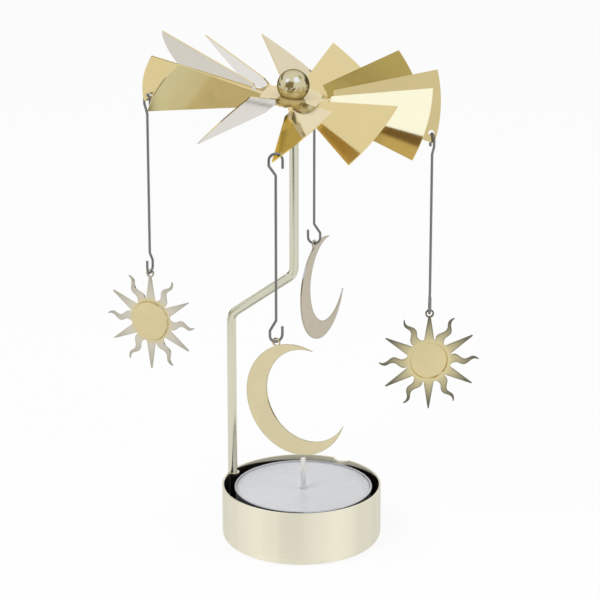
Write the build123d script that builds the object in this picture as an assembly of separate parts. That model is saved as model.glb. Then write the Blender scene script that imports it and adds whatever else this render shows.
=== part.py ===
from build123d import *
import math
import os

# A tealight carousel: warm air from the candle turns a bladed fan that balances on a needle,
# and the fan carries two suns and two crescent moons on wire hangers.
# Lengths are millimetres and angles are degrees. +Z is up, the viewer stands at -Y, and the
# origin is the centre of the tray's underside.

# Tray
TRAY_ROOM = 5.8
TRAY_HEIGHT = 15.7
TRAY_SHEET = 0.5
TRAY_CORNER_RADIUS = 2.4
DIMPLE_ANGLE = 58.0
DIMPLE_WIDTH = 5.0
DIMPLE_LENGTH = 7.0

# Tealight
CANDLE_DIAMETER = 38.0
CANDLE_TAPER = 1.4
CANDLE_HEIGHT = 14.6
CANDLE_SHIFT_X = 0.5
CANDLE_GAP = 0.3
CUP_SHEET = 0.25
CUP_BEAD = 0.5
WAX_LEVEL = 13.6
WAX_CORNER_RADIUS = 0.8
WAX_GAP = 0.05
WICK_DIAMETER = 1.5
WICK_ABOVE_WAX = 9.0
SUSTAINER_DIAMETER = 13.0
SUSTAINER_SHEET = 0.3
SUSTAINER_COLLAR = 3.0

# Post
POST_DIAMETER = 2.6
POST_ANGLE = 156.0
POST_PROUD = 0.4
POST_FOOT_HEIGHT = 2.6
POST_SEAT_GAP = 0.05
POST_LOWER_BEND = 62.2
POST_UPPER_BEND = 76.4
POST_BEND_RADIUS = 4.0
NEEDLE_X = -2.0
NEEDLE_HEIGHT = 130.2
NEEDLE_LENGTH = 14.0
NEEDLE_TIP_DIAMETER = 0.3

# Rotor
RIGHT_LEAN_ANGLE = 6.2
FRONT_LEAN_ANGLE = 2.6
NEEDLE_SEAT_GAP = 0.2
BORE_DIAMETER = 3.4
BORE_POINT_ANGLE = 118.0
KNOB_DIAMETER = 8.6
KNOB_ABOVE_HUB = 3.3
TENON_DIAMETER = 4.4
TENON_GAP = 0.05
RIVET_DIAMETER = 5.2
RIVET_HEIGHT = 0.5
WASHER_DIAMETER = 8.0
WASHER_SHEET = 0.6

# Fan
BLADE_COUNT = 12
BLADE_PHASE_ANGLE = 2.5
BLADE_TWIST_ANGLE = 46.0
BLADE_RISE_ANGLE = 2.6
BLADE_SLIT_ANGLE = 1.0
FAN_DIAMETER = 79.0
FAN_SHEET = 0.3
HUB_RADIUS = 9.6
HUB_DROP = 5.0
NECK_LENGTH = 1.4
NECK_WIDTH = 3.0
HOLE_DIAMETER = 1.6
HOLE_TO_EDGE = 1.6
HOLE_TO_RIM = 1.4

# How far each blade is bent off its stamped angles by hand: more twist, sweep and rise
HAND_BENT = (
    (18.0, -1.0, 0.0),
    (-2.5, -0.5, 1.0),
    (-14.0, -1.0, -2.0),
    (-14.0, -2.0, -1.5),
    (-1.0, -6.0, -5.0),
    (-5.0, -0.5, 8.0),
    (7.0, -0.5, 0.5),
    (9.0, -7.5, 6.0),
    (4.0, 0.5, 2.0),
    (-0.5, 2.0, 0.0),
    (0.5, 0.0, 1.0),
    (14.0, -0.5, 1.0),
)

# Hangers
WIRE_DIAMETER = 0.7
HOOK_RADIUS = 1.75
HOOK_SPACING = 46.4
HOOK_SHOULDER = 0.6
HOOK_JOG = 3.9
HOOK_TAIL = 2.1
HOOK_CORNER_RADIUS = 0.8
HOOK_CROSSING_ANGLE = 34.0
HOOK_SEAT_GAP = 0.25

# Pendants
PENDANT_SHEET = 0.4
EYE_DIAMETER = 2.4
EYE_HOLE_DIAMETER = 1.5
RAY_PAIRS = 6
RAY_REACH = 13.7
RAY_ROOT_WIDTH = 2.8
RAY_TIP_WIDTH = 0.3
RAY_ROOT_OVERLAP = 0.3
RAY_WAVE = 0.55
RAY_WAVE_COUNT = 1.5
RAY_STEPS = 9
SUN_PLATE_DIAMETER = 12.2
SUN_EYE_REACH = 13.5
DISC_DIAMETER = 11.2
DISC_EMBOSS = 0.6
DISC_WALL_ANGLE = 25.0
MOON_DIAMETER = 29.8
MOON_WIDTH = 6.5
MOON_HORN_ANGLE = 44.0
MOON_EYE_ANGLE = 94.5
MOON_EYE_REACH = 0.9

# What hangs evenly round the fan, from its first blade on: place and pendant, then how far the upper
# hook is turned from the blade's chord, the lower hook from the upper one, and the pendant from that
HANGING = (
    ("right", "sun", 20.0, -20.0, 13.0),
    ("back", "moon", 0.0, -15.0, -13.0),
    ("left", "sun", 15.0, -50.0, -7.0),
    ("front", "moon", 0.0, 20.0, 34.0),
)

# Values that follow from the sizes above
TRAY_RADIUS = (CANDLE_DIAMETER + TRAY_ROOM) / 2
CANDLE_RADIUS = CANDLE_DIAMETER / 2
POST_RADIUS = POST_DIAMETER / 2
WIRE_RADIUS = WIRE_DIAMETER / 2
POST_REACH = TRAY_RADIUS - POST_RADIUS + POST_PROUD
POST_X = POST_REACH * math.cos(math.radians(POST_ANGLE))
POST_Y = POST_REACH * math.sin(math.radians(POST_ANGLE))
CANDLE_AT = Pos(CANDLE_SHIFT_X, 0, TRAY_SHEET)
ROTOR_AT = Pos(NEEDLE_X, 0, NEEDLE_HEIGHT) * Rot(X=FRONT_LEAN_ANGLE) * Rot(Y=RIGHT_LEAN_ANGLE)
BLADE_HALF_ANGLE = math.radians(180 / BLADE_COUNT - BLADE_SLIT_ANGLE / 2)


def polar(reach, angle):
    return Pos(reach * math.cos(math.radians(angle)), reach * math.sin(math.radians(angle)))


def upright(radius, low, high):
    """A vertical cylinder between two heights."""
    return Pos(0, 0, low) * Cylinder(radius, high - low, align=(Align.CENTER, Align.CENTER, Align.MIN))


def turned(*corners):
    """A solid turned about Z from the corners (radius, height) of its half section."""
    return revolve(make_face(Plane.XZ * Polyline(*corners, close=True)), Axis.Z)


def tray():
    """The drawn cup, with a flute pressed in for the post and a dimple that steadies the candle."""
    outer = turned((0, 0), (TRAY_RADIUS, 0), (TRAY_RADIUS, TRAY_HEIGHT), (0, TRAY_HEIGHT))
    outer = fillet(outer.edges().group_by(Axis.Z)[0], TRAY_CORNER_RADIUS)
    inner_radius = TRAY_RADIUS - TRAY_SHEET
    inner = upright(inner_radius, TRAY_SHEET, TRAY_HEIGHT)
    inner = fillet(inner.edges().group_by(Axis.Z)[0], TRAY_CORNER_RADIUS - TRAY_SHEET)

    flute_radius = POST_RADIUS + POST_SEAT_GAP
    flute = Pos(POST_X, POST_Y) * upright(flute_radius, POST_FOOT_HEIGHT, TRAY_HEIGHT)
    flute_skin = Pos(POST_X, POST_Y) * upright(
        flute_radius + TRAY_SHEET, POST_FOOT_HEIGHT - TRAY_SHEET, TRAY_HEIGHT
    )

    dimple_radius = DIMPLE_WIDTH / 2
    dimple_face = CANDLE_RADIUS + CANDLE_SHIFT_X + CANDLE_GAP
    dimple_low = TRAY_HEIGHT - DIMPLE_LENGTH + dimple_radius
    dimple_at = polar(dimple_face + TRAY_SHEET + dimple_radius, DIMPLE_ANGLE)
    dimple = upright(dimple_radius, dimple_low, TRAY_HEIGHT)
    dimple += Pos(0, 0, dimple_low) * Sphere(dimple_radius)
    skin_radius = dimple_radius + TRAY_SHEET
    dimple_skin = upright(skin_radius, dimple_low, TRAY_HEIGHT)
    dimple_skin += Pos(0, 0, dimple_low) * Sphere(skin_radius)

    hollow = inner - flute_skin - dimple_at * dimple_skin
    return outer - hollow - flute - dimple_at * dimple


def post():
    """The bent rod, drawn out to a needle at its top."""
    foot = (POST_X, POST_Y, POST_FOOT_HEIGHT)
    lower = (POST_X, POST_Y, POST_LOWER_BEND)
    upper = (NEEDLE_X, 0, POST_UPPER_BEND)
    needle_base = NEEDLE_HEIGHT - NEEDLE_LENGTH
    path = FilletPolyline(foot, lower, upper, (NEEDLE_X, 0, needle_base), radius=POST_BEND_RADIUS)
    rod = sweep(Plane(foot) * Circle(POST_RADIUS), path=path)
    needle = Pos(NEEDLE_X, 0, needle_base) * turned(
        (0, 0), (POST_RADIUS, 0), (NEEDLE_TIP_DIAMETER / 2, NEEDLE_LENGTH), (0, NEEDLE_LENGTH)
    )
    return rod + needle


def cup_radius(height):
    """The outside radius of the tealight's cup, which widens towards its rim."""
    base = CANDLE_RADIUS - CANDLE_TAPER / 2
    return base + (CANDLE_RADIUS - CUP_BEAD / 2 - base) * height / CANDLE_HEIGHT


def cup_turned(inset, low, high):
    """A solid that fills the cup between two heights, inset from its outside."""
    return turned((0, low), (cup_radius(low) - inset, low), (cup_radius(high) - inset, high), (0, high))


def tealight_cup():
    """The pressed aluminium cup with its rolled rim."""
    shell = cup_turned(0, 0, CANDLE_HEIGHT) - cup_turned(CUP_SHEET, CUP_SHEET, CANDLE_HEIGHT)
    bead_radius = CUP_BEAD / 2
    section = Pos(cup_radius(CANDLE_HEIGHT), CANDLE_HEIGHT - bead_radius) * Circle(bead_radius)
    return CANDLE_AT * (shell + revolve(Plane.XZ * section, Axis.Z))


def sustainer_shape(gap):
    """The wick's tin foot: a disc with a collar, grown by a gap."""
    collar_top = CUP_SHEET + SUSTAINER_COLLAR + gap
    disc_top = CUP_SHEET + SUSTAINER_SHEET + gap
    collar_radius = WICK_DIAMETER / 2 + WAX_GAP + SUSTAINER_SHEET + gap
    disc = upright(SUSTAINER_DIAMETER / 2 + gap, CUP_SHEET, disc_top)
    return disc + upright(collar_radius, CUP_SHEET, collar_top)


def wick_bore(gap):
    return upright(WICK_DIAMETER / 2 + gap, CUP_SHEET, WAX_LEVEL + WICK_ABOVE_WAX)


def wax():
    """The wax, with the room that the wick and its foot take."""
    fill = cup_turned(CUP_SHEET + WAX_GAP, CUP_SHEET, WAX_LEVEL)
    fill = fillet(fill.edges().group_by(Axis.Z)[-1], WAX_CORNER_RADIUS)
    return CANDLE_AT * (fill - sustainer_shape(WAX_GAP) - wick_bore(WAX_GAP))


def wick_sustainer():
    return CANDLE_AT * (sustainer_shape(0) - wick_bore(WAX_GAP))


def wick():
    return CANDLE_AT * wick_bore(0)


def hung_blade(order):
    """The number of the blade that carries a pendant."""
    return order * BLADE_COUNT // len(HANGING)


def neck_at(number):
    """The frame where a blade's neck leaves the hub, with X outwards."""
    return Rot(Z=BLADE_PHASE_ANGLE + number * 360 / BLADE_COUNT) * Pos(HUB_RADIUS, 0, 0)


def blade_at(number):
    """The frame of one blade's root: X along the blade, Y along its chord to the raised edge."""
    twist, sweep, rise = HAND_BENT[number]
    bend = Rot(Z=sweep) * Rot(Y=-BLADE_RISE_ANGLE - rise) * Rot(X=BLADE_TWIST_ANGLE + twist)
    return neck_at(number) * Pos(NECK_LENGTH, 0, 0) * bend


def hole_place():
    """The middle of a hanger's hole, in its blade's frame."""
    reach = FAN_DIAMETER / 2 - HOLE_TO_RIM - HOLE_DIAMETER / 2
    margin = (HOLE_TO_EDGE + HOLE_DIAMETER / 2) / math.cos(BLADE_HALF_ANGLE)
    return reach - HUB_RADIUS - NECK_LENGTH, margin - reach * math.tan(BLADE_HALF_ANGLE)


def blade(holed):
    """One flat blade in its own frame: a slice of the fan's disc, its root edge on X = 0."""
    root = HUB_RADIUS + NECK_LENGTH
    rim = FAN_DIAMETER / 2
    slope = math.tan(BLADE_HALF_ANGLE)
    tip_x = rim * math.cos(BLADE_HALF_ANGLE) - root
    tip_y = rim * math.sin(BLADE_HALF_ANGLE)
    edges = Polyline((tip_x, tip_y), (0, root * slope), (0, -root * slope), (tip_x, -tip_y))
    edges += ThreePointArc((tip_x, -tip_y), (rim - root, 0), (tip_x, tip_y))
    outline = make_face(edges)
    if holed:
        outline -= Pos(*hole_place()) * Circle(HOLE_DIAMETER / 2)
    return extrude(outline, FAN_SHEET / 2, both=True)


def neck(number):
    """The twisted strip that joins a blade to the hub."""
    strip = Rectangle(NECK_WIDTH, FAN_SHEET)
    across = Plane((0, 0, 0), x_dir=(0, 1, 0), z_dir=(1, 0, 0)).location
    at_hub = neck_at(number) * across * strip
    at_blade = blade_at(number) * across * strip
    return loft([at_hub.face(), at_blade.face()], ruled=True)


def fan():
    """The stamped fan: a flat hub, and blades twisted at their necks."""
    holed = [hung_blade(order) for order in range(len(HANGING))]
    flats = RegularPolygon(HUB_RADIUS, BLADE_COUNT, major_radius=False)
    hub = Rot(Z=BLADE_PHASE_ANGLE + 180 / BLADE_COUNT) * flats - Circle(TENON_DIAMETER / 2 + TENON_GAP)
    sheet = extrude(hub, FAN_SHEET / 2, both=True)
    for number in range(BLADE_COUNT):
        sheet += neck(number)
        sheet += blade_at(number) * blade(number in holed)
    return ROTOR_AT * Pos(0, 0, -HUB_DROP) * sheet


def bore():
    """The blind hole that the needle enters, with the point that a drill leaves."""
    radius = BORE_DIAMETER / 2
    point = radius / math.tan(math.radians(BORE_POINT_ANGLE / 2))
    mouth = -HUB_DROP - FAN_SHEET - WASHER_SHEET - RIVET_HEIGHT - NEEDLE_SEAT_GAP
    return Pos(0, 0, NEEDLE_SEAT_GAP) * turned((0, 0), (radius, -point), (radius, mouth), (0, mouth))


def ball_knob():
    """The turned ball, whose tenon goes through the fan and the washer and is riveted over."""
    seat = FAN_SHEET / 2 - HUB_DROP
    washer_foot = seat - FAN_SHEET - WASHER_SHEET
    ball = Pos(0, 0, KNOB_ABOVE_HUB - HUB_DROP) * Sphere(KNOB_DIAMETER / 2)
    ball &= upright(KNOB_DIAMETER, seat, seat + KNOB_DIAMETER)
    tenon = upright(TENON_DIAMETER / 2, washer_foot, seat)
    rivet = upright(RIVET_DIAMETER / 2, washer_foot - RIVET_HEIGHT, washer_foot)
    rivet = fillet(rivet.edges().group_by(Axis.Z)[0], RIVET_HEIGHT / 2)
    return ROTOR_AT * (ball + tenon + rivet - bore())


def hub_washer():
    top = -FAN_SHEET / 2 - HUB_DROP
    disc = upright(WASHER_DIAMETER / 2, top - WASHER_SHEET, top)
    return ROTOR_AT * (disc - upright(TENON_DIAMETER / 2 + TENON_GAP, top - WASHER_SHEET, top))


def hanger_at(number, turn):
    """The frame of a hanger: its upper hook's centre, with X level and turned from the blade's chord."""
    at_blade = ROTOR_AT * Pos(0, 0, -HUB_DROP) * blade_at(number)
    hole_x, hole_y = hole_place()
    hole = (at_blade * Pos(hole_x, hole_y)).position
    chord = ((at_blade * Pos(hole_x, 0)).position - hole).normalized()
    wire = hole - chord * (HOLE_DIAMETER / 2 - WIRE_RADIUS - HOOK_SEAT_GAP)
    level = Vector(chord.X, chord.Y, 0).normalized().rotate(Axis.Z, turn)
    crossing = math.radians(HOOK_CROSSING_ANGLE)
    drop = HOOK_RADIUS * (level * math.sin(crossing) + Vector(0, 0, math.cos(crossing)))
    return Plane(wire - drop, x_dir=level, z_dir=(0, 0, 1)).location


def hook(sign, turn):
    """Half of a hanger's centre line, from its tail to its shank: +1 is the upper hook, -1 the lower."""
    end = 0 if sign > 0 else -HOOK_SPACING
    turned_by = math.radians(turn)

    def point(x, z):
        return (x * math.cos(turned_by), x * math.sin(turned_by), end + sign * z)

    shoulder = HOOK_SHOULDER + HOOK_CORNER_RADIUS
    tail = Line(point(HOOK_RADIUS, -HOOK_TAIL), point(HOOK_RADIUS, 0))
    crown = ThreePointArc(point(HOOK_RADIUS, 0), point(0, HOOK_RADIUS), point(-HOOK_RADIUS, 0))
    side = [point(-HOOK_RADIUS, 0), point(-HOOK_RADIUS, -shoulder), point(0, -HOOK_JOG)]
    shank = (0, 0, -HOOK_SPACING / 2)
    jog = FilletPolyline(*side, shank, radius=HOOK_CORNER_RADIUS)
    return tail + crown + jog


def hanger(turn):
    """One wire with an open eye at each end, its lower eye turned from its upper one."""
    ends = []
    for sign, hook_turn in ((1, 0.0), (-1, turn)):
        line = hook(sign, hook_turn)
        section = Plane((0, 0, -HOOK_SPACING / 2)) * Circle(WIRE_RADIUS)
        ends.append(sweep(section, path=Wire(line.edges())))
    return ends[0] + ends[1]


def straight_ray():
    root = SUN_PLATE_DIAMETER / 2 - RAY_ROOT_OVERLAP
    half = RAY_ROOT_WIDTH / 2
    tip = RAY_TIP_WIDTH / 2
    return make_face(Polyline((-half, root), (-tip, RAY_REACH), (tip, RAY_REACH), (half, root), close=True))


def wavy_ray():
    """A tapering ray whose middle follows a sine wave."""
    root = SUN_PLATE_DIAMETER / 2 - RAY_ROOT_OVERLAP
    left = []
    right = []
    for step in range(RAY_STEPS + 1):
        share = step / RAY_STEPS
        middle = RAY_WAVE * math.sin(2 * math.pi * RAY_WAVE_COUNT * share)
        half = (RAY_ROOT_WIDTH * (1 - share) + RAY_TIP_WIDTH * share) / 2
        height = root + (RAY_REACH - root) * share
        left.append((middle - half, height))
        right.append((middle + half, height))
    edges = Spline(*left) + Line(left[-1], right[-1]) + Spline(*right[::-1]) + Line(right[0], left[0])
    return make_face(edges)


def eye_ring(reach):
    return Pos(0, reach) * Circle(EYE_DIAMETER / 2), Pos(0, reach) * Circle(EYE_HOLE_DIAMETER / 2)


def sun():
    """A pressed sun, hung by the eye at its top ray, with its hole's middle at the origin."""
    ring, hole = eye_ring(SUN_EYE_REACH)
    outline = Circle(SUN_PLATE_DIAMETER / 2) + ring
    step = 360 / RAY_PAIRS
    for number in range(RAY_PAIRS):
        outline += Rot(Z=number * step) * straight_ray()
        outline += Rot(Z=(number + 0.5) * step) * wavy_ray()
    plate = extrude(Plane.XZ * (outline - hole), PENDANT_SHEET / 2, both=True)
    front = Plane.XZ.offset(PENDANT_SHEET / 2)
    back = Plane.XZ.offset(-PENDANT_SHEET / 2)
    disc = Circle(DISC_DIAMETER / 2)
    recess = Circle(DISC_DIAMETER / 2 - PENDANT_SHEET)
    plate += extrude(front * disc, DISC_EMBOSS, taper=DISC_WALL_ANGLE)
    plate -= extrude(back * recess, DISC_EMBOSS, taper=DISC_WALL_ANGLE)
    return Pos(0, 0, -SUN_EYE_REACH) * plate


def moon():
    """A crescent that hangs in balance from its eye, with its hole's middle at the origin."""
    radius = MOON_DIAMETER / 2
    horn_x = radius * math.cos(math.radians(MOON_HORN_ANGLE))
    horn_z = radius * math.sin(math.radians(MOON_HORN_ANGLE))
    inner_side = radius - MOON_WIDTH
    shift = (horn_x**2 + horn_z**2 - inner_side**2) / (2 * (horn_x + inner_side))
    crescent = Circle(radius) - Pos(-shift, 0) * Circle(shift + inner_side)
    reach = radius + MOON_EYE_REACH
    ring, hole = eye_ring(reach)
    to_eye = Rot(Z=MOON_EYE_ANGLE - 90)
    plate = extrude(Plane.XZ * (crescent + to_eye * ring - to_eye * hole), PENDANT_SHEET / 2, both=True)
    eye = polar(reach, MOON_EYE_ANGLE).position
    plate = Pos(-eye.X, 0, -eye.Y) * plate
    weight = plate.center(CenterOf.MASS)
    return Rot(Y=math.degrees(math.atan2(weight.X, -weight.Z))) * plate


def lower_hook_at(number, upper_turn, lower_turn):
    """The frame at the lowest point of a hanger's lower hook, with X along its wire there."""
    return hanger_at(number, upper_turn) * Pos(0, 0, -HOOK_SPACING - HOOK_RADIUS) * Rot(Z=lower_turn)


def model():
    """Every piece by its name."""
    pieces = {
        "tealight_tray": tray(),
        "needle_post": post(),
        "tealight_cup": tealight_cup(),
        "tealight_wax": wax(),
        "wick_sustainer": wick_sustainer(),
        "tealight_wick": wick(),
        "rotor_fan": fan(),
        "ball_knob": ball_knob(),
        "hub_washer": hub_washer(),
    }
    forms = {"sun": sun(), "moon": moon()}
    for order, (place, form, upper_turn, lower_turn, turn) in enumerate(HANGING):
        number = hung_blade(order)
        pieces["hanger_" + place] = hanger_at(number, upper_turn) * hanger(lower_turn)
        wire = lower_hook_at(number, upper_turn, lower_turn)
        eye = wire * Pos(0, 0, WIRE_RADIUS + HOOK_SEAT_GAP - EYE_HOLE_DIAMETER / 2)
        pieces[form + "_" + place] = eye * Rot(Z=90 + turn) * forms[form]
    return pieces


os.makedirs("parts", exist_ok=True)
for name, piece in model().items():
    export_step(piece, "parts/" + name + ".step")
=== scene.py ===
"""Finishes, candle and studio for the tealight carousel with suns and moons."""
import math
from functools import partial

import bpy
from bpy.props import FloatProperty, FloatVectorProperty, IntProperty, PointerProperty
from bpy.types import Operator, Panel, PropertyGroup
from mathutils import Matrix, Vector


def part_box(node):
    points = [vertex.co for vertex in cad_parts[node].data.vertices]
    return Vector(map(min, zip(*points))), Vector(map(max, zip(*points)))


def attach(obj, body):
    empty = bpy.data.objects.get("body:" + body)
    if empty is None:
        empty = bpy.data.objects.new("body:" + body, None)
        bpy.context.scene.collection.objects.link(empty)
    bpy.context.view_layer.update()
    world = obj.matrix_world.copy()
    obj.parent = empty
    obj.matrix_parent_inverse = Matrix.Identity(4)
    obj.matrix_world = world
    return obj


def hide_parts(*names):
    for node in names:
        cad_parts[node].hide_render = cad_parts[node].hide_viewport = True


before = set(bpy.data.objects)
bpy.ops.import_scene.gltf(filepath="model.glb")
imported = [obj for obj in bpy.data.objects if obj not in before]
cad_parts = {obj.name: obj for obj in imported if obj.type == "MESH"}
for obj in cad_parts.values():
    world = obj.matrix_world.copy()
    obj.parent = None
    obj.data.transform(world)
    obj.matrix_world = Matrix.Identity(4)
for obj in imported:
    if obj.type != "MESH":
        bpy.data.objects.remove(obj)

bl_info = {
    "name": "Tealight carousel",
    "version": (1, 0, 0),
    "blender": (4, 5, 0),
    "location": "3D View > Sidebar > Carousel",
    "description": "Finishes, candle and studio of a tealight carousel with suns and moons",
    "category": "Object",
}

MM = 0.001
HANGERS = ("hanger_right", "hanger_back", "hanger_left", "hanger_front")
BLACK = (0.0, 0.0, 0.0)
WHITE = (1.0, 1.0, 1.0)
AXIS_X = (1.0, 0.0, 0.0)
AXIS_Y = (0.0, 1.0, 0.0)
AXIS_Z = (0.0, 0.0, 1.0)

# The span that most of a noise lies in.
NOISE_LOW = 0.3
NOISE_HIGH = 0.7

# Sockets of a Mix node that is set to colours; their names are not unique.
MIX_FIRST = 6
MIX_SECOND = 7
MIX_RESULT = 2

# Metal: scale and detail of its noises, and what they change.
CLOUDS = (55.0, 3.0)
WEAR = (240.0, 4.0)
MARKS = (1400.0, 2.0)
METALLIC = 0.94
CLOUD_SHADES = (0.95, 1.04)
WEAR_SMOOTH = 0.8
WEAR_ROUGH = 1.3
MARK_DEPTH = 0.02 * MM
FINE_GRAIN = 0.4
EVEN = (1.0, 1.0, 1.0)
DRAWN_TRAY = (1.0, 1.0, 0.03)
DRAWN_ROD = (1.0, 1.0, 0.06)

# Roughness, as a share of the satin or polish setting, or by itself.
TRAY_SATIN = 1.4
POST_SATIN = 0.6
PENDANT_SATIN = 0.8
KNOB_POLISH = 1.7
CUP_ROUGHNESS = 0.45
WIRE_ROUGHNESS = 0.3

# Tray: painted sheen in bands across it, and painted shade on its inside below the rim.
TRAY_PAINTED_SHEENS = ((0.0, 0.84), (0.25, 1.0), (0.5, 0.89), (0.72, 0.98), (1.0, 0.80))
INSIDE_BAND = 0.002
PAINTED_SHADE_LEAN = (0.02, 0.10, 1.0)
PAINTED_SHADE_START = 0.8 * MM
PAINTED_SHADE_FULL = 0.4 * MM
PAINTED_SHADE_TONE = 0.10
RIM_DULL = 1.35
RIM_BRIGHT = 0.1

# Wick.
WICK_STEPS = 72
WICK_SEGMENTS = 36
WICK_TIP_WIDTH = 0.6
WICK_TIP_RISE = 0.2
BRAID_MEAN = 0.86
BRAID_DEPTH = 0.14
FIBRES = (1800.0, 4.0)
FIBRE_STRETCH = (1.0, 1.0, 0.3)
FIBRE_SHADES = (0.88, 1.0)
FIBRE_ROUGHNESS = (0.7, 0.9)
FIBRE_RELIEF = 0.5
FIBRE_DEPTH = 0.1 * MM
DRY_LENGTH = 2.6 * MM
SOAKED_LENGTH = 4.2 * MM

# Wax.
WAX_SEGMENTS = 128
WAX_RINGS = 26
WAX_GAP = 0.05 * MM
WAX_TAPER = 0.7 * MM
WAX_SHOULDER = 0.4 * MM
BRIM_BELOW_RIM = 0.35 * MM
BRIM_WALL = 0.8
BRIM_TOP = 0.95
BRIM_ROUND = 0.1 * MM
TOP_INSET = 0.2 * MM
RIM_REACH = 0.9 * MM
MOUND_REACH = 0.8 * MM
COLLAR_SHARE = 0.3
FOOT_ROOF = 0.35 * MM
FOOT_EDGE = 0.3 * MM
WAX_CLOUDS = (70.0, 2.0)
WAX_SHADES = (0.97, 1.03)
WAX_ROUGHNESS = (0.24, 0.36)
WAX_WAVES = (300.0, 2.0)
WAX_RELIEF = 0.05
WAX_DEPTH = 0.05 * MM
WAX_GLOW = 0.3
WAX_GLOW_RADIUS = (1.0, 0.95, 0.9)
WAX_GLOW_SCALE = 1.5 * MM

# Fan: sectors of a turn about the hub that starts at the left and passes the front.
LEFT = (0.035, 0.132)
FRONT_LEFT = (0.132, 0.215)
FRONT = (0.215, 0.299)
RIGHT = (0.458, 0.542)
BACK = (0.708, 0.790)
BACK_LEFT = (0.790, 0.965)
# Painted shade: share of the fan's tone on the tops of the right and back blades.
PAINTED_BLADE_SHADE = 0.83
LEVEL_BAND = 0.02
# Painted highlight on the left underside: its slant, place, root, reach and middle stop.
SHINE_SLANT = Vector((1.0, 0.0, -0.65))
SHINE_PLACE = 27.5 * MM
SHINE_ROOT = 1.0 * MM
SHINE_REACH = 13.0 * MM
SHINE_MIDDLE = 0.14
# Painted amber reflection on the left part of the front blade: the line that bounds it and the width of its
# edge.
PAINTED_AMBER_ACROSS = Vector((1.0, 0.145, 0.0))
PAINTED_AMBER_PLACE = 3.0 * MM
PAINTED_AMBER_BAND = 0.2 * MM
HUB_RADIUS = 9.6 * MM
NECK_RADIUS = 12.0 * MM
BLADE_SHARE = 0.85
BRUSHED_START = 1.0 * MM
BRUSHED_END = 9.5 * MM
MATTE_SHARE = 0.55

# Suns and moons: radii about a sun's middle, and the dark edge that stamping leaves.
SUN_MIDDLE_DROP = 0.4 * MM
RAY_START = 5.5 * MM
RAY_FULL = 7.2 * MM
RAY_SHARE = 0.9
TIP_START = 7.5 * MM
TIP_FULL = 12.0 * MM
RAY_EDGE = 0.6 * MM
MOON_EDGE = 0.2 * MM
MOON_EDGE_SHARE = 0.8
EDGE_START = 0.9995
EDGE_FULL = 0.97

# Studio: tones of the cards, their places and sizes in metres, and the lamps.
COOL = (0.56, 0.66, 1.0)
ROOM = (0.25, 0.19, 0.07)
DUSK = (0.10, 0.09, 0.05)
AMBER = (0.58, 0.54, 0.30)
NIGHT = (0.05, 0.05, 0.045)
SOFTBOXES = ("softbox", "right_softbox")
CARDS = (
    ("softbox", COOL, (-0.62, -0.42, 0.75), (0.42, 0.42)),
    ("camera_card", ROOM, (-0.46, -0.87, 0.36), (1.12, 0.95)),
    ("left_card", DUSK, (-0.79, 0.62, 0.575), (0.95, 0.20)),
    ("left_low_card", DUSK, (-0.79, 0.62, 0.10), (0.95, 0.20)),
    ("right_card", DUSK, (0.79, 0.62, 0.275), (0.95, 0.55)),
    ("ceiling_card", AMBER, (0.60, 0.0, 0.84), (0.34, 0.34)),
    ("ceiling_bar", ROOM, (0.597, 0.0075, 0.823), (0.010, 0.20)),
    ("right_softbox", COOL, (0.37, -0.53, 0.90), (0.64, 0.64)),
)
CARD_STRENGTH = 1.0
CARD_AIM = (0.0, 0.0, 0.1)
TABLE_CARD_PLACE = (-0.17, -0.43, 0.001)
TABLE_CARD_SIZE = (0.42, 0.22)
TABLE_CARD_AIM = (-0.17, -0.43, 1.0)
KEY_PLACE = (-0.45, -0.5, 0.8)
KEY_SIZE = 0.5
FILL_PLACE = (0.6, -0.3, 0.6)
FILL_SIZE = 0.6
LAMP_AIM = (0.0, 0.0, 0.07)
FLOOR_ROUGHNESS = 0.9
FLOOR_GLOW = 0.88
SENSOR_WIDTH = 36.0
CLIP_START = 0.01


def colour(name, description, default):
    """A colour that a user may change."""
    return FloatVectorProperty(
        name=name, description=description, default=default,
        subtype="COLOR", size=3, min=0.0, max=1.0,
    )


def factor(name, description, default):
    """A share from 0 to 1."""
    return FloatProperty(
        name=name, description=description, default=default,
        subtype="FACTOR", min=0.0, max=1.0,
    )


def length(name, description, default):
    """A length in metres."""
    return FloatProperty(
        name=name, description=description, default=default,
        subtype="DISTANCE", unit="LENGTH", min=0.0, soft_max=10.0, precision=5,
    )


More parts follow.
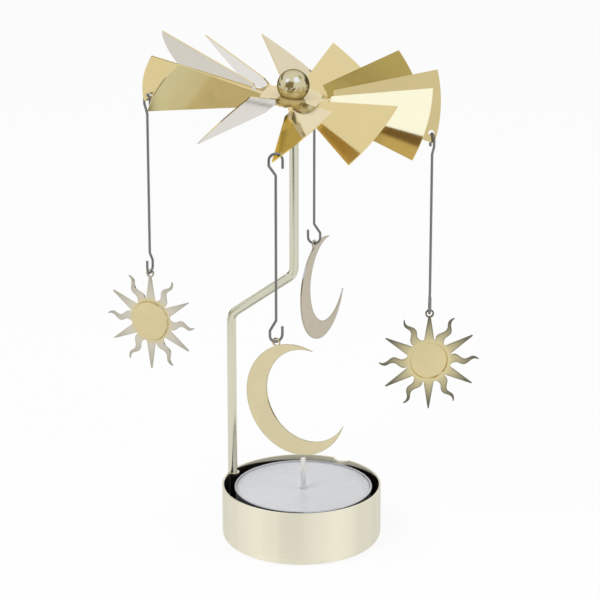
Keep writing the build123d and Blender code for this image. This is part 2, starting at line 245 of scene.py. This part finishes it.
class CarouselMetal(PropertyGroup):
    """Colours and polish of the metal pieces."""

    tray: colour("Tray", "Plating of the tray", (0.90, 0.86, 0.69))
    post: colour("Post", "Plating of the post", (0.66, 0.65, 0.52))
    fan: colour("Fan", "Plating of the fan", (0.73, 0.60, 0.30))
    # Tint seen along the front blade, part of its painted amber reflection.
    fan_glance: colour("Fan, at a glance", "Tint of thick plating seen along it", (1.0, 0.88, 0.50))
    # Painted pale reflection on the undersides of two blades.
    fan_painted_pale: colour("Fan, thin plating", "Undersides with thin plating", (0.56, 0.53, 0.49))
    # Painted amber reflection on the left part of the front blade.
    fan_painted_amber: colour("Fan, thick plating", "Left part of the front blade", (0.66, 0.48, 0.10))
    # Painted highlight and painted warm reflection on the undersides.
    fan_painted_highlight: colour("Fan, polished", "Outer part of the polished underside", (1.0, 0.89, 0.47))
    fan_painted_warm: colour("Fan, warm", "Root of the polished underside, and the front one", (0.83, 0.62, 0.23))
    cut_edge: colour("Cut edges", "Stamped edges of the pendants", (0.16, 0.15, 0.11))
    knob: colour("Knob", "Polished ball", (0.62, 0.56, 0.37))
    knob_glance: colour("Knob, at a glance", "Tint at the rim of the ball", (0.20, 0.16, 0.06))
    sun: colour("Suns", "Plating of the suns", (0.70, 0.60, 0.335))
    ray: colour("Rays, right sun", "Plating of the right sun's rays", (0.50, 0.45, 0.27))
    # Painted pale reflection: the left sun's rays are a paler copy of the right sun's.
    ray_painted_pale: colour("Rays, left sun", "Thinner plating of the left sun's rays", (0.62, 0.59, 0.51))
    moon: colour("Front moon", "Plating of the front moon", (0.70, 0.62, 0.39))
    # Painted shade: the back moon is a darker copy of the front moon's tone.
    moon_shaded: colour("Back moon", "Duller plating of the back moon", (0.51, 0.45, 0.345))
    wire: colour("Wire", "Drawn steel wire", (0.22, 0.22, 0.21))
    polish: factor("Roughness", "Roughness of the bright plating", 0.08)
    satin: factor("Satin roughness", "Roughness of the satin plating", 0.26)
    grain: factor("Grain", "Depth of the fine marks in the metal", 0.05)


class CarouselCandle(PropertyGroup):
    """Colours and sizes of the candle."""

    wax: colour("Wax", "Paraffin wax", (0.655, 0.67, 0.69))
    wick: colour("Wick", "Cotton of the wick", (0.86, 0.84, 0.78))
    cup: colour("Cup", "Aluminium cup", (0.66, 0.67, 0.69))
    dish: length("Dish", "Depth of the wax in its middle, below its rim", 0.35 * MM)
    climb: length("Climb", "Height that wax climbs up at the wick", 0.6 * MM)
    lay: length("Wick lay", "Height of one turn of the braid", 5.0 * MM)
    strands: IntProperty(
        name="Strands", description="Strands of the braid", default=3, min=2, max=6,
    )


class CarouselStage(PropertyGroup):
    """Camera, lamps and floor."""

    camera_distance: length("Camera distance", "Camera in front of the post", 0.7)
    camera_height: length("Camera height", "Camera above the table", 0.3009)
    camera_side: length("Camera side", "Camera left of the middle", 0.00041)
    pitch: FloatProperty(
        name="Pitch", description="Camera tilt below the horizon",
        default=math.radians(18.33), subtype="ANGLE", unit="ROTATION",
    )
    lens: FloatProperty(
        name="Lens", description="Focal length in millimetres", default=163.86, min=10.0,
    )
    background: colour("Background", "Studio background", (0.995, 0.996, 0.998))
    floor_size: length("Floor", "Width of the floor", 6.0)
    key_power: FloatProperty(
        name="Key lamp", description="Power of the key lamp in watts", default=4.0, min=0.0,
    )
    fill_power: FloatProperty(
        name="Fill lamp", description="Power of the fill lamp in watts", default=1.5, min=0.0,
    )
    ambient: factor("Ambient", "Light from all round", 0.62)
    softbox: FloatProperty(
        name="Softbox", description="Brightness of the softboxes that the metal mirrors",
        default=2.4, min=0.0,
    )


def new_material(name):
    """A node material, its tree and its Principled shader, which is joined to the output."""
    material = bpy.data.materials.new(name)
    material.use_nodes = True
    tree = material.node_tree
    shader = tree.nodes["Principled BSDF"]
    return material, tree, shader


def add_noise(tree, scale, detail, stretch=EVEN):
    """A noise texture in object space; stretch scales its axes."""
    place = tree.nodes.new("ShaderNodeTexCoord")
    mapping = tree.nodes.new("ShaderNodeMapping")
    mapping.inputs["Scale"].default_value = stretch
    noise = tree.nodes.new("ShaderNodeTexNoise")
    noise.inputs["Scale"].default_value = scale
    noise.inputs["Detail"].default_value = detail
    tree.links.new(place.outputs["Object"], mapping.inputs["Vector"])
    tree.links.new(mapping.outputs["Vector"], noise.inputs["Vector"])
    return noise.outputs["Fac"]


def add_ramp(tree, source, stops, between="LINEAR"):
    """A colour ramp over source; stops are (position, colour)."""
    ramp = tree.nodes.new("ShaderNodeValToRGB")
    ramp.color_ramp.interpolation = between
    ramp.color_ramp.elements[0].position = stops[0][0]
    ramp.color_ramp.elements[0].color = (*stops[0][1], 1.0)
    ramp.color_ramp.elements[1].position = stops[-1][0]
    ramp.color_ramp.elements[1].color = (*stops[-1][1], 1.0)
    for position, tone in stops[1:-1]:
        ramp.color_ramp.elements.new(position).color = (*tone, 1.0)
    tree.links.new(source, ramp.inputs["Fac"])
    return ramp.outputs["Color"]


def add_shades(tree, noise, tone, shades):
    """tone, darker where the noise is low and lighter where it is high."""
    dark, light = shades
    return add_ramp(tree, noise, ((NOISE_LOW, scaled(tone, dark)), (NOISE_HIGH, scaled(tone, light))))


def add_sectors(tree, turn, base, marked):
    """base all round, and other tones in the sectors that marked lists in order."""
    stops = {0.0: base}
    for (start, end), tone in marked:
        stops[start] = tone
        stops[end] = base
    return add_ramp(tree, turn, sorted(stops.items()), "CONSTANT")


def add_range(tree, noise, low, high):
    """A noise spread over low to high."""
    spread = tree.nodes.new("ShaderNodeMapRange")
    spread.inputs["From Min"].default_value = NOISE_LOW
    spread.inputs["From Max"].default_value = NOISE_HIGH
    spread.inputs["To Min"].default_value = low
    spread.inputs["To Max"].default_value = high
    tree.links.new(noise, spread.inputs["Value"])
    return spread.outputs["Result"]


def add_bump(tree, shader, source, strength, depth):
    """Relief from source on shader's normal."""
    bump = tree.nodes.new("ShaderNodeBump")
    bump.inputs["Strength"].default_value = strength
    bump.inputs["Distance"].default_value = depth
    tree.links.new(source, bump.inputs["Height"])
    tree.links.new(bump.outputs["Normal"], shader.inputs["Normal"])


def add_mix(tree, share, first, second, mode="MIX"):
    """Two colours mixed by share."""
    mix = tree.nodes.new("ShaderNodeMix")
    mix.data_type = "RGBA"
    mix.blend_type = mode
    if isinstance(share, float):
        mix.inputs["Factor"].default_value = share
    else:
        tree.links.new(share, mix.inputs["Factor"])
    for source, socket in ((first, mix.inputs[MIX_FIRST]), (second, mix.inputs[MIX_SECOND])):
        if isinstance(source, bpy.types.NodeSocket):
            tree.links.new(source, socket)
        else:
            socket.default_value = (*source, 1.0)
    return mix.outputs[MIX_RESULT]


def add_step(tree, source, low, high):
    """0 below low, 1 above high and a slope between; the other way round where low is the higher."""
    step = tree.nodes.new("ShaderNodeMapRange")
    step.inputs["From Min"].default_value = low
    step.inputs["From Max"].default_value = high
    tree.links.new(source, step.inputs["Value"])
    return step.outputs["Result"]


def add_math(tree, operation, first, second):
    """One sum on a source and a number or another source."""
    node = tree.nodes.new("ShaderNodeMath")
    node.operation = operation
    tree.links.new(first, node.inputs[0])
    if isinstance(second, float):
        node.inputs[1].default_value = second
    else:
        tree.links.new(second, node.inputs[1])
    return node.outputs["Value"]


def add_vector_math(tree, operation, first, second=None):
    """A number from one or two vectors."""
    node = tree.nodes.new("ShaderNodeVectorMath")
    node.operation = operation
    tree.links.new(first, node.inputs[0])
    if isinstance(second, bpy.types.NodeSocket):
        tree.links.new(second, node.inputs[1])
    elif second is not None:
        node.inputs[1].default_value = second
    return node.outputs["Value"]


def add_dot(tree, first, second):
    """How far first reaches along second."""
    return add_vector_math(tree, "DOT_PRODUCT", first, second)


def add_shader_mix(tree, share, first, second, output):
    """Two shaders mixed by share, joined to the output."""
    mix = tree.nodes.new("ShaderNodeMixShader")
    tree.links.new(share, mix.inputs["Fac"])
    tree.links.new(first, mix.inputs[1])
    tree.links.new(second, mix.inputs[2])
    tree.links.new(mix.outputs["Shader"], output.inputs["Surface"])


def scaled(tone, share):
    """tone made darker or lighter."""
    return tuple(min(1.0, part * share) for part in tone)


def metal(name, tone, roughness, grain, stretch=EVEN, dress=None, glance=None):
    """Plated or drawn metal with cloudy tone, uneven polish and fine marks.

    dress changes its colour and may join other sockets of its shader; glance tints it seen along its surface.
    """
    material, tree, shader = new_material(name)
    shader.inputs["Metallic"].default_value = METALLIC
    if glance:
        shader.inputs["Specular Tint"].default_value = (*glance, 1.0)
    clouds = add_noise(tree, *CLOUDS, stretch)
    finish = add_shades(tree, clouds, tone, CLOUD_SHADES)
    if dress:
        finish = dress(tree, finish)
    tree.links.new(finish, shader.inputs["Base Color"])
    wear = add_noise(tree, *WEAR, stretch)
    rough = add_range(tree, wear, roughness * WEAR_SMOOTH, roughness * WEAR_ROUGH)
    tree.links.new(rough, shader.inputs["Roughness"])
    marks = add_noise(tree, *MARKS, stretch)
    add_bump(tree, shader, marks, grain, MARK_DEPTH)
    return material


def paint(nodes, material):
    """Gives CAD nodes a material."""
    for name in nodes:
        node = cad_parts[name]
        node.data.materials.clear()
        node.data.materials.append(material)


def lathe(name, profile, centre, segments, edge=None):
    """A closed turned piece; profile is (radius, height), edge shapes its radius by angle and height."""
    points = []
    faces = []
    count = len(profile)
    for turn in range(segments):
        angle = math.tau * turn / segments
        for radius, height in profile:
            reach = radius * edge(angle, height) if edge else radius
            points.append((
                centre.x + reach * math.cos(angle),
                centre.y + reach * math.sin(angle),
                height,
            ))
    for turn in range(segments):
        following = (turn + 1) % segments
        for step in range(count - 1):
            faces.append((
                turn * count + step,
                following * count + step,
                following * count + step + 1,
                turn * count + step + 1,
            ))
    faces.append(tuple(turn * count for turn in reversed(range(segments))))
    faces.append(tuple(turn * count + count - 1 for turn in range(segments)))
    mesh = bpy.data.meshes.new(name)
    mesh.from_pydata(points, [], faces)
    mesh.shade_smooth()
    piece = bpy.data.objects.new(name, mesh)
    bpy.context.scene.collection.objects.link(piece)
    return piece


def sheet(name, width, height):
    """A flat rectangle about the origin."""
    x = width / 2
    y = height / 2
    mesh = bpy.data.meshes.new(name)
    mesh.from_pydata([(-x, -y, 0), (x, -y, 0), (x, y, 0), (-x, y, 0)], [], [(0, 1, 2, 3)])
    piece = bpy.data.objects.new(name, mesh)
    bpy.context.scene.collection.objects.link(piece)
    return piece


def settings(group):
    """The scene's settings of that group."""
    return getattr(bpy.context.scene, group)


class CAROUSEL_OT_tray(Operator):
    """Plates the tray in pale satin brass"""

    bl_idname = "carousel.tray"
    bl_label = "Tray"

    def execute(self, context):
        look = settings("carousel_metal")
        low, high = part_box("tealight_tray")
        dress = partial(self.paint_sheen_and_shade, look=look, low=low, high=high)
        plating = metal("tray plating", look.tray, look.satin * TRAY_SATIN, look.grain, DRAWN_TRAY, dress)
        paint(["tealight_tray"], plating)
        return {"FINISHED"}

    def paint_sheen_and_shade(self, tree, finish, look, low, high):
        """Painted sheen in bands across the tray; painted shade darkens its inside below the rim, and the
        inside is duller at the rim.
        """
        place = tree.nodes.new("ShaderNodeTexCoord")
        inwards = add_dot(tree, place.outputs["Object"], place.outputs["Normal"])
        inside = add_step(tree, inwards, INSIDE_BAND, -INSIDE_BAND)
        # Painted shade: the inside is painted dark below the rim, along a slightly slanted height.
        leant = add_dot(tree, place.outputs["Object"], PAINTED_SHADE_LEAN)
        below = add_step(tree, leant, high.z + PAINTED_SHADE_START, high.z + PAINTED_SHADE_FULL)
        dark = add_math(tree, "MULTIPLY", inside, below)
        clean = add_math(tree, "SUBTRACT", inside, dark)
        bare = add_step(tree, clean, RIM_DULL, RIM_BRIGHT)
        tree.links.new(bare, tree.nodes["Principled BSDF"].inputs["Metallic"])
        # Painted sheen: lighter and darker bands across the tray, multiplied into its colour.
        across = add_step(tree, add_dot(tree, place.outputs["Object"], AXIS_X), low.x, high.x)
        bands = add_ramp(tree, across, [(at, (sheen,) * 3) for at, sheen in TRAY_PAINTED_SHEENS], "EASE")
        finish = add_mix(tree, 1.0, finish, bands, "MULTIPLY")
        # The painted shade darkens the inside to a tenth of the tray's tone.
        return add_mix(tree, dark, finish, scaled(look.tray, PAINTED_SHADE_TONE))


class CAROUSEL_OT_post(Operator):
    """Plates the needle post in pale satin brass"""

    bl_idname = "carousel.post"
    bl_label = "Needle post"

    def execute(self, context):
        look = settings("carousel_metal")
        plating = metal("post plating", look.post, look.satin * POST_SATIN, look.grain, DRAWN_ROD)
        paint(["needle_post"], plating)
        return {"FINISHED"}


class CAROUSEL_OT_candle(Operator):
    """Makes the candle: aluminium cup, dished wax and braided wick"""

    bl_idname = "carousel.candle"
    bl_label = "Tealight"

    def execute(self, context):
        look = settings("carousel_candle")
        grain = settings("carousel_metal").grain
        cup = metal("pressed aluminium", look.cup, CUP_ROUGHNESS, grain)
        paint(["tealight_cup", "wick_sustainer"], cup)
        self.make_wick(look)
        self.make_wax(look)
        return {"FINISHED"}

    def make_wick(self, look):
        """A twisted cotton braid in place of the plain round wick."""
        low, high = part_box("tealight_wick")
        centre = (low + high) / 2
        radius = (high.x - low.x) / 2
        profile = []
        for step in range(WICK_STEPS + 1):
            height = low.z + (high.z - low.z) * step / WICK_STEPS
            profile.append((radius, height))
        profile.append((radius * WICK_TIP_WIDTH, high.z + radius * WICK_TIP_RISE))

        def braid(angle, height):
            """Share of the radius that the strands reach."""
            twist = math.tau * (height - low.z) / look.lay
            return BRAID_MEAN + BRAID_DEPTH * math.cos(look.strands * angle - twist)

        wick = lathe("braided_wick", profile, centre, WICK_SEGMENTS, braid)
        wick.data.materials.append(self.cotton(look, high.z))
        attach(wick, "tealight")
        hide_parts("tealight_wick")

    def cotton(self, look, top):
        """Fibrous cotton, soaked with wax below its dry end."""
        material, tree, shader = new_material("wick cotton")
        fibres = add_noise(tree, *FIBRES, FIBRE_STRETCH)
        place = tree.nodes.new("ShaderNodeTexCoord")
        risen = add_dot(tree, place.outputs["Object"], AXIS_Z)
        soaked = add_step(tree, risen, top - DRY_LENGTH, top - SOAKED_LENGTH)
        dry = add_shades(tree, fibres, look.wick, FIBRE_SHADES)
        tree.links.new(add_mix(tree, soaked, dry, look.wax), shader.inputs["Base Color"])
        rough = add_range(tree, fibres, *FIBRE_ROUGHNESS)
        tree.links.new(rough, shader.inputs["Roughness"])
        add_bump(tree, shader, fibres, FIBRE_RELIEF, FIBRE_DEPTH)
        return material

    def make_wax(self, look):
        """Wax with a dished top that climbs a little at cup and wick."""
        low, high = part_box("tealight_wax")
        centre = (low + high) / 2
        outer = (high.x - low.x) / 2
        foot_low, foot_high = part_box("wick_sustainer")
        wick_low, wick_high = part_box("tealight_wick")
        bore = (wick_high.x - wick_low.x) / 2 + WAX_GAP
        foot = (foot_high.x - foot_low.x) / 2 + WAX_GAP
        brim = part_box("tealight_cup")[1].z - high.z - BRIM_BELOW_RIM
        profile = [
            (foot, low.z),
            (outer - WAX_TAPER, low.z),
            (outer, high.z - WAX_SHOULDER),
            (outer, high.z + brim * BRIM_WALL),
            (outer - BRIM_ROUND, high.z + brim * BRIM_TOP),
        ]
        for ring in range(WAX_RINGS + 1):
            share = ring / WAX_RINGS
            radius = outer - TOP_INSET - (outer - TOP_INSET - bore) * share
            rim = math.exp(-(outer - radius) / RIM_REACH)
            mound = math.exp(-(radius - bore) / MOUND_REACH)
            height = high.z - look.dish * (1.0 - rim) + brim * rim + look.climb * mound
            profile.append((radius, height))
        profile += [
            (bore, foot_high.z + WAX_GAP),
            (foot * COLLAR_SHARE, foot_high.z + WAX_GAP),
            (foot * COLLAR_SHARE, low.z + FOOT_ROOF),
            (foot, low.z + FOOT_EDGE),
        ]
        wax = lathe("dished_wax", profile + [profile[0]], centre, WAX_SEGMENTS)
        wax.data.materials.append(self.paraffin(look))
        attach(wax, "tealight")
        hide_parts("tealight_wax")

    def paraffin(self, look):
        """Cloudy wax that lets some light in."""
        material, tree, shader = new_material("paraffin")
        clouds = add_noise(tree, *WAX_CLOUDS)
        tree.links.new(add_shades(tree, clouds, look.wax, WAX_SHADES), shader.inputs["Base Color"])
        rough = add_range(tree, clouds, *WAX_ROUGHNESS)
        tree.links.new(rough, shader.inputs["Roughness"])
        shader.inputs["Subsurface Weight"].default_value = WAX_GLOW
        shader.inputs["Subsurface Radius"].default_value = WAX_GLOW_RADIUS
        shader.inputs["Subsurface Scale"].default_value = WAX_GLOW_SCALE
        waves = add_noise(tree, *WAX_WAVES)
        add_bump(tree, shader, waves, WAX_RELIEF, WAX_DEPTH)
        return material


class CAROUSEL_OT_fan(Operator):
    """Plates the fan in bright brass"""

    bl_idname = "carousel.fan"
    bl_label = "Fan"

    def execute(self, context):
        look = settings("carousel_metal")
        low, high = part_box("hub_washer")
        dress = partial(self.blades, look=look, centre=(low + high) / 2)
        plating = metal("fan plating", look.fan, look.polish, look.grain * FINE_GRAIN, dress=dress)
        paint(["rotor_fan"], plating)
        return {"FINISHED"}

    def blades(self, tree, finish, look, centre):
        """Painted reflections and shade on the blades; the hub keeps the plain plating and is brushed."""
        shader = tree.nodes["Principled BSDF"]
        place = tree.nodes.new("ShaderNodeTexCoord")
        turn, radius = self.around(tree, place, centre)
        upwards = add_dot(tree, place.outputs["Normal"], AXIS_Z)
        below = add_step(tree, upwards, LEVEL_BAND, -LEVEL_BAND)
        # Painted shade: the tops of the right and back blades are painted darker.
        painted_shade_tone = scaled(look.fan, PAINTED_BLADE_SHADE)
        tops = add_sectors(tree, turn, look.fan, ((RIGHT, painted_shade_tone), (BACK, painted_shade_tone)))
        tones = add_mix(tree, below, tops, self.undersides(tree, place, turn, look, centre))

        # Painted amber reflection on the left part of the front blade, with an amber tint on its reflections.
        side = add_dot(tree, place.outputs["Object"], PAINTED_AMBER_ACROSS)
        limit = PAINTED_AMBER_ACROSS.dot(centre) - PAINTED_AMBER_PLACE
        facing = add_step(tree, side, limit + PAINTED_AMBER_BAND, limit - PAINTED_AMBER_BAND)
        painted_front = add_sectors(tree, turn, BLACK, ((FRONT, WHITE),))
        painted_amber = add_math(tree, "MULTIPLY", painted_front, facing)
        tones = add_mix(tree, painted_amber, tones, look.fan_painted_amber)
        glance = add_mix(tree, painted_amber, WHITE, look.fan_glance)
        tree.links.new(glance, shader.inputs["Specular Tint"])

        brushed = add_step(tree, radius, BRUSHED_START, BRUSHED_END)
        matte = add_math(tree, "MULTIPLY", add_math(tree, "MULTIPLY", painted_front, below), MATTE_SHARE)
        mirrored = add_math(tree, "SUBTRACT", add_math(tree, "MULTIPLY", brushed, METALLIC), matte)
        tree.links.new(mirrored, shader.inputs["Metallic"])
        beyond = add_step(tree, radius, HUB_RADIUS, NECK_RADIUS)
        return add_mix(tree, add_math(tree, "MULTIPLY", beyond, BLADE_SHARE), finish, tones)

    def around(self, tree, place, centre):
        """The turn about the hub, from 0 to 1, and the radius from it."""
        about = tree.nodes.new("ShaderNodeMapping")
        about.inputs["Location"].default_value = (-centre.x, -centre.y, 0.0)
        about.inputs["Scale"].default_value = (1.0, 1.0, 0.0)
        tree.links.new(place.outputs["Object"], about.inputs["Vector"])
        flat = about.outputs["Vector"]
        angle = add_math(tree, "ARCTAN2", add_dot(tree, flat, AXIS_Y), add_dot(tree, flat, AXIS_X))
        turn = add_step(tree, angle, -math.pi, math.pi)
        return turn, add_vector_math(tree, "LENGTH", flat)

    def undersides(self, tree, place, turn, look, centre):
        """Painted reflections on the undersides; the left one has a painted highlight that grows brighter
        towards its end.
        """
        # Painted reflections on the undersides: pale on the front-left and back-left blades, warm on the
        # front one.
        marked = ((FRONT_LEFT, look.fan_painted_pale), (FRONT, look.fan_painted_warm), (BACK_LEFT, look.fan_painted_pale))
        plain = add_sectors(tree, turn, look.fan, marked)
        # Painted highlight: the left underside is painted from warm at its root to bright at its end.
        along = add_dot(tree, place.outputs["Object"], SHINE_SLANT)
        border = SHINE_SLANT.dot(centre) - SHINE_PLACE
        outwards = add_step(tree, along, border + SHINE_ROOT, border - SHINE_REACH)
        middle = tuple((warm + bright) / 2 for warm, bright in zip(look.fan_painted_warm, look.fan_painted_highlight))
        stops = ((0.0, look.fan_painted_warm), (SHINE_MIDDLE, middle), (1.0, look.fan_painted_highlight))
        painted_shine = add_sectors(tree, turn, BLACK, ((LEFT, WHITE),))
        return add_mix(tree, painted_shine, plain, add_ramp(tree, outwards, stops))


class CAROUSEL_OT_knob(Operator):
    """Polishes the ball knob and its washer"""

    bl_idname = "carousel.knob"
    bl_label = "Knob and washer"

    def execute(self, context):
        look = settings("carousel_metal")
        polish = metal(
            "knob polish", look.knob, look.polish * KNOB_POLISH, look.grain * FINE_GRAIN,
            glance=look.knob_glance,
        )
        paint(["ball_knob"], polish)
        paint(["hub_washer"], metal("washer brass", look.knob, look.satin, look.grain))
        return {"FINISHED"}


class CAROUSEL_OT_hangers(Operator):
    """Gives the four hangers their drawn steel"""

    bl_idname = "carousel.hangers"
    bl_label = "Hangers"

    def execute(self, context):
        look = settings("carousel_metal")
        paint(HANGERS, metal("drawn steel", look.wire, WIRE_ROUGHNESS, look.grain, DRAWN_ROD))
        return {"FINISHED"}


class CAROUSEL_OT_pendants(Operator):
    """Plates the suns and moons in satin brass"""

    bl_idname = "carousel.pendants"
    bl_label = "Suns and moons"

    def execute(self, context):
        look = settings("carousel_metal")
        rough = look.satin * PENDANT_SATIN
        # The two suns are one part; the left sun's paler rays are a painted pale reflection.
        for name, tone, tips, outline in (
            ("sun_right", look.ray, 1.0, 0.95),
            ("sun_left", look.ray_painted_pale, 0.3, 0.15),
        ):
            low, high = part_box(name)
            middle = (low + high) / 2 - Vector((0.0, 0.0, SUN_MIDDLE_DROP))
            dress = partial(
                self.rays, middle=middle, tone=tone, tips=tips, outline=outline, dark=look.cut_edge,
            )
            paint([name], metal(f"{name} plating", look.sun, rough, look.grain, dress=dress))
        dress = partial(self.crescent, dark=look.cut_edge)
        # The back moon's darker tone is painted shade.
        for name, tone in (("moon_front", look.moon), ("moon_back", look.moon_shaded)):
            paint([name], metal(f"{name} plating", tone, rough, look.grain, dress=dress))
        return {"FINISHED"}

    def stamped(self, tree, reach, share):
        """Share of dark edge that stamping leaves."""
        bevel = tree.nodes.new("ShaderNodeBevel")
        bevel.inputs["Radius"].default_value = reach
        shape = tree.nodes.new("ShaderNodeNewGeometry")
        flat = add_dot(tree, bevel.outputs["Normal"], shape.outputs["Normal"])
        edge = add_step(tree, flat, EDGE_START, EDGE_FULL)
        return add_math(tree, "MULTIPLY", edge, share)

    def rays(self, tree, finish, middle, tone, tips, outline, dark):
        """The rays have a tone of their own; tips and outline say how dark their tips and edges are."""
        place = tree.nodes.new("ShaderNodeTexCoord")
        reach = add_vector_math(tree, "DISTANCE", place.outputs["Object"], middle)
        thin = add_step(tree, reach, RAY_START, RAY_FULL)
        finish = add_mix(tree, add_math(tree, "MULTIPLY", thin, RAY_SHARE), finish, tone)
        tip = add_step(tree, reach, TIP_START, TIP_FULL)
        finish = add_mix(tree, add_math(tree, "MULTIPLY", tip, tips), finish, dark)
        edge = add_math(tree, "MULTIPLY", self.stamped(tree, RAY_EDGE, outline), thin)
        return add_mix(tree, edge, finish, dark)

    def crescent(self, tree, finish, dark):
        """The edges of a moon are dark."""
        return add_mix(tree, self.stamped(tree, MOON_EDGE, MOON_EDGE_SHARE), finish, dark)


class CAROUSEL_OT_stage(Operator):
    """Sets up the white studio: floor, lamps, cards and camera"""

    bl_idname = "carousel.stage"
    bl_label = "Studio"

    def execute(self, context):
        look = settings("carousel_stage")
        self.make_world(look)
        self.make_floor(look)
        self.make_lamp("key_lamp", look.key_power, KEY_SIZE, KEY_PLACE)
        self.make_lamp("fill_lamp", look.fill_power, FILL_SIZE, FILL_PLACE)
        for name, tone, place, size in CARDS:
            strength = look.softbox if name in SOFTBOXES else CARD_STRENGTH
            self.make_card(name, tone, strength, place, size, CARD_AIM)
        self.make_card("table_card", NIGHT, CARD_STRENGTH, TABLE_CARD_PLACE, TABLE_CARD_SIZE, TABLE_CARD_AIM)
        self.make_camera(look)
        context.scene.view_settings.view_transform = "Standard"
        return {"FINISHED"}

    def seen_directly(self, tree):
        """1 where a ray comes from the camera, a gloss or a glass, else 0."""
        path = tree.nodes.new("ShaderNodeLightPath")
        either = add_math(tree, "MAXIMUM", path.outputs["Is Camera Ray"], path.outputs["Is Glossy Ray"])
        return add_math(tree, "MAXIMUM", either, path.outputs["Is Transmission Ray"])

    def make_world(self, look):
        """A white studio, with a plain level of light from all round."""
        world = bpy.data.worlds.new("studio")
        world.use_nodes = True
        tree = world.node_tree
        ambient = tree.nodes["Background"]
        ambient.inputs["Color"].default_value = (*look.background, 1.0)
        ambient.inputs["Strength"].default_value = look.ambient
        shown = tree.nodes.new("ShaderNodeBackground")
        shown.inputs["Color"].default_value = (*look.background, 1.0)
        add_shader_mix(
            tree, self.seen_directly(tree), ambient.outputs["Background"], shown.outputs["Background"],
            tree.nodes["World Output"],
        )
        bpy.context.scene.world = world

    def make_floor(self, look):
        """A white table that keeps the object's shadow."""
        floor = sheet("floor", look.floor_size, look.floor_size)
        material, tree, shader = new_material("white table")
        shader.inputs["Base Color"].default_value = (*look.background, 1.0)
        shader.inputs["Roughness"].default_value = FLOOR_ROUGHNESS
        glow = tree.nodes.new("ShaderNodeEmission")
        glow.inputs["Color"].default_value = (*look.background, 1.0)
        share = add_math(tree, "MULTIPLY", self.seen_directly(tree), FLOOR_GLOW)
        add_shader_mix(
            tree, share, shader.outputs["BSDF"], glow.outputs["Emission"], tree.nodes["Material Output"],
        )
        floor.data.materials.append(material)

    def make_card(self, name, tone, strength, place, size, aim):
        """A flat card that only mirrors in the metal, turned towards aim."""
        card = sheet(name, *size)
        card.location = place
        turn = (Vector(aim) - Vector(place)).to_track_quat("Z", "Y")
        card.rotation_euler = turn.to_euler()
        material, tree, shader = new_material(name)
        shader.inputs["Base Color"].default_value = (*BLACK, 1.0)
        shader.inputs["Specular IOR Level"].default_value = 0.0
        shader.inputs["Emission Color"].default_value = (*tone, 1.0)
        shader.inputs["Emission Strength"].default_value = strength
        card.data.materials.append(material)
        card.visible_camera = False
        card.visible_diffuse = False
        card.visible_shadow = False
        card.visible_transmission = False

    def make_lamp(self, name, power, size, place):
        """A square lamp turned towards the object."""
        lamp = bpy.data.lights.new(name, "AREA")
        lamp.energy = power
        lamp.size = size
        lamp_object = bpy.data.objects.new(name, lamp)
        lamp_object.location = place
        aim = Vector(LAMP_AIM) - Vector(place)
        lamp_object.rotation_euler = aim.to_track_quat("-Z", "Y").to_euler()
        lamp_object.visible_glossy = False
        bpy.context.scene.collection.objects.link(lamp_object)

    def make_camera(self, look):
        """The camera of the picture."""
        camera = bpy.data.cameras.new("camera")
        camera.lens = look.lens
        camera.sensor_width = SENSOR_WIDTH
        camera.clip_start = CLIP_START
        camera_object = bpy.data.objects.new("camera", camera)
        camera_object.location = (-look.camera_side, -look.camera_distance, look.camera_height)
        camera_object.rotation_euler = (math.pi / 2 - look.pitch, 0.0, 0.0)
        bpy.context.scene.collection.objects.link(camera_object)
        bpy.context.scene.camera = camera_object


GROUPS = {
    "carousel_metal": CarouselMetal,
    "carousel_candle": CarouselCandle,
    "carousel_stage": CarouselStage,
}
OPERATORS = (
    CAROUSEL_OT_tray,
    CAROUSEL_OT_post,
    CAROUSEL_OT_candle,
    CAROUSEL_OT_fan,
    CAROUSEL_OT_knob,
    CAROUSEL_OT_hangers,
    CAROUSEL_OT_pendants,
    CAROUSEL_OT_stage,
)


class CAROUSEL_PT_panel(Panel):
    """Lists the settings and the operators of the carousel"""

    bl_label = "Tealight carousel"
    bl_space_type = "VIEW_3D"
    bl_region_type = "UI"
    bl_category = "Carousel"

    def draw(self, context):
        for group in GROUPS:
            box = self.layout.box()
            values = settings(group)
            for name in values.bl_rna.properties.keys():
                if name not in {"rna_type", "name"}:
                    box.prop(values, name)
        for operator in OPERATORS:
            self.layout.operator(operator.bl_idname)


CLASSES = (*GROUPS.values(), *OPERATORS, CAROUSEL_PT_panel)


def register():
    """Adds the settings, the operators and the panel."""
    for cls in CLASSES:
        bpy.utils.register_class(cls)
    for name, group in GROUPS.items():
        setattr(bpy.types.Scene, name, PointerProperty(type=group))


def unregister():
    """Takes them away again."""
    for name in GROUPS:
        delattr(bpy.types.Scene, name)
    for cls in reversed(CLASSES):
        bpy.utils.unregister_class(cls)


def main():
    """Makes every piece."""
    register()
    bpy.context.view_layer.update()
    bpy.ops.carousel.tray()
    bpy.ops.carousel.post()
    bpy.ops.carousel.candle()
    bpy.ops.carousel.fan()
    bpy.ops.carousel.knob()
    bpy.ops.carousel.hangers()
    bpy.ops.carousel.pendants()
    bpy.ops.carousel.stage()


if __name__ == "__main__":
    main()
